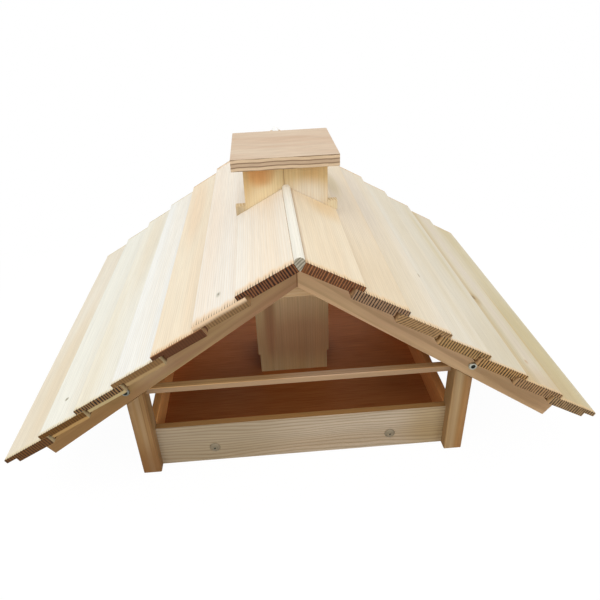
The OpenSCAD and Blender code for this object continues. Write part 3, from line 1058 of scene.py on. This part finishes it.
def lamp(scene, name, place, size, level):
    """A round lamp that looks at the feeder's middle. A lamp of power P at a distance d gives a white
    face that looks at it the level P / (pi d)^2. The place and the size are metres."""
    light = bpy.data.lights.new(name, "AREA")
    light.shape = "DISK"
    light.size = size
    place = Vector(place)
    light.energy = level * (math.pi * (place - MIDDLE).length) ** 2
    holder = bpy.data.objects.new(name, light)
    scene.collection.objects.link(holder)
    holder.location = place
    aim = (MIDDLE - place).to_track_quat("-Z", "Y")
    holder.rotation_euler = aim.to_euler()
    holder.visible_camera = False


def set_world(scene, fill):
    """A white world that lights by its fill level and is seen and mirrored as plain white."""
    world = bpy.data.worlds.new("world")
    scene.world = world
    world.use_nodes = True
    tree = world.node_tree
    tree.nodes.clear()
    path = tree.nodes.new("ShaderNodeLightPath").outputs
    seen = add(tree, "Math", {0: path["Is Camera Ray"], 1: path["Is Glossy Ray"]}, operation="MAXIMUM")
    seen = add(tree, "Math", {0: seen, 1: path["Is Transmission Ray"]}, operation="MAXIMUM")
    level = add(tree, "MapRange", {0: seen, 3: fill, 4: 1.0})
    sky = add(tree, "Background", {"Color": (1.0, 1.0, 1.0, 1.0), "Strength": level})
    output = tree.nodes.new("ShaderNodeOutputWorld")
    tree.links.new(sky, output.inputs["Surface"])


def pale_floor():
    """A disc just under the feeder. It glows a little less than white and returns a little light, so
    that it keeps a faint shadow, and it fades to plain white farther out. Rays that don't come from
    the camera see it as plain pale grey."""
    radius, gap, fade_start, fade_end = 3.0, 0.5 * MM, 0.35, 0.8
    grey, glow_level, plain_grey = 0.05, 0.965, 0.75
    height = np.full(len(TURN), CAD_LOW.z - gap)
    rim = np.stack([radius * np.cos(TURN), radius * np.sin(TURN), height], -1)
    material, tree = new_material("pale_floor")
    path = tree.nodes.new("ShaderNodeLightPath").outputs
    place = add(tree, "TexCoord", out="Object")
    far = add(tree, "VectorMath", {0: place}, out=1, operation="LENGTH")
    fade = add(tree, "MapRange", {0: far, 1: fade_start, 2: fade_end}, **SMOOTH)
    lit = add(tree, "BsdfDiffuse", {"Color": (grey, grey, grey, 1.0)})
    glow = add(tree, "Emission", {"Strength": glow_level})
    near = add(tree, "AddShader", {0: lit, 1: glow})
    white = add(tree, "Emission", {"Strength": 1.0})
    seen = add(tree, "MixShader", {0: fade, 1: near, 2: white})
    plain = add(tree, "BsdfDiffuse", {"Color": (plain_grey, plain_grey, plain_grey, 1.0)})
    both = add(tree, "MixShader", {0: path["Is Camera Ray"], 1: plain, 2: seen})
    output = tree.nodes.new("ShaderNodeOutputMaterial")
    tree.links.new(both, output.inputs["Surface"])
    return new_piece("floor", rim, [list(range(len(rim)))], material)


class FEEDER_OT_stage(Operator):
    """Sets the camera, the soft light and the plain pale floor"""

    bl_idname = "feeder.stage"
    bl_label = "Stage"

    def execute(self, context):
        scene = context.scene
        sizes = scene.feeder_stage
        scene.view_settings.view_transform = "Standard"
        set_camera(scene, sizes)
        lamp(scene, "key_light", (-0.6, -1.4, 2.6), 2.0, sizes.key)
        lamp(scene, "side_light", (1.1, -1.6, 1.0), 0.9, sizes.side)
        lamp(scene, "back_light", (0.3, 1.7, 1.2), 1.6, sizes.back)
        set_world(scene, sizes.fill)
        floor = pale_floor()
        return {"FINISHED"}


class FEEDER_PT_panel(Panel):
    """Lists the finishes and their settings in the 3D view's sidebar"""

    bl_idname = "FEEDER_PT_panel"
    bl_label = "Bird feeder"
    bl_space_type = "VIEW_3D"
    bl_region_type = "UI"
    bl_category = "Feeder"

    def draw(self, context):
        for operator in OPERATORS:
            self.layout.operator(operator.bl_idname)
        for name, group in SETTINGS.items():
            box = self.layout.box()
            for setting in group.__annotations__:
                box.prop(getattr(context.scene, name), setting)


OPERATORS = (
    FEEDER_OT_stage,
    FEEDER_OT_roof,
    FEEDER_OT_ridge,
    FEEDER_OT_frame,
    FEEDER_OT_tray,
    FEEDER_OT_silo,
    FEEDER_OT_cap,
    FEEDER_OT_screws,
)
SETTINGS = {
    "feeder_timber": FeederTimber,
    "feeder_screws": FeederScrews,
    "feeder_stage": FeederStage,
}
CLASSES = (*SETTINGS.values(), *OPERATORS, FEEDER_PT_panel)


def register():
    for cls in CLASSES:
        bpy.utils.register_class(cls)
    for name, group in SETTINGS.items():
        setattr(bpy.types.Scene, name, PointerProperty(type=group))


def unregister():
    for name in SETTINGS:
        delattr(bpy.types.Scene, name)
    for cls in reversed(CLASSES):
        bpy.utils.unregister_class(cls)


def main():
    register()
    for operator in OPERATORS:
        group, name = operator.bl_idname.split(".")
        getattr(getattr(bpy.ops, group), name)()


if __name__ == "__main__":
    main()
